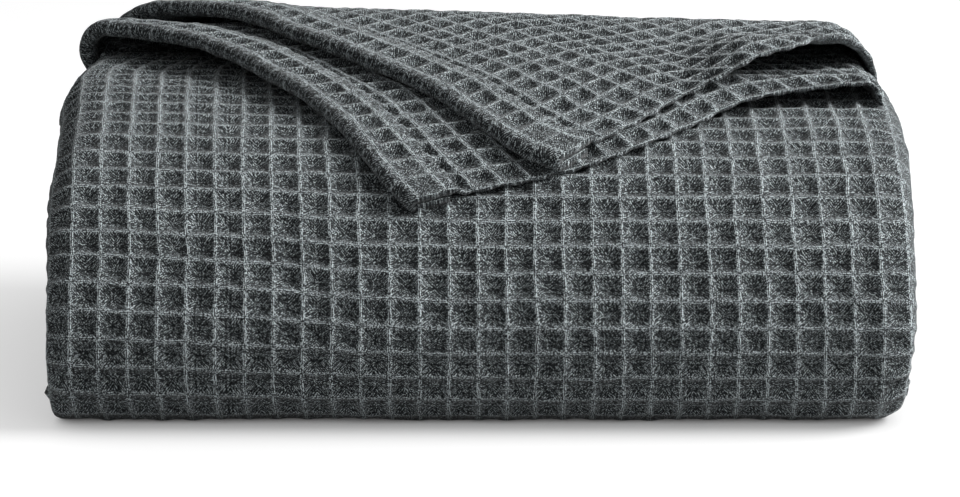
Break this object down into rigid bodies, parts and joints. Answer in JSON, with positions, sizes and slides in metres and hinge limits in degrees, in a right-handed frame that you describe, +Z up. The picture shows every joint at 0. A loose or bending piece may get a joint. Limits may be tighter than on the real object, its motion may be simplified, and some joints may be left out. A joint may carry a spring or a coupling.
{
  "type": "waffle blanket",
  "caption": "Thick waffle-weave cotton blanket folded into a neat bundle, with its top corners turned over to the front.",
  "frame": {"origin": "middle of the base, on the surface that the folded blanket lies on", "axes": "+Z up, -Y to the front that the turned corners point to, +X to the right as seen from the front, along the bundle's long side"},
  "size_m": [0.3714, 0.2682, 0.149],
  "materials": {
    "waffle_cotton": "matt thick cotton in a waffle weave, dark slate grey with paler threads on the ridges"
  },
  "bodies": {
    "root": {"blanket": "waffle_cotton"}
  },
  "joints": []
}
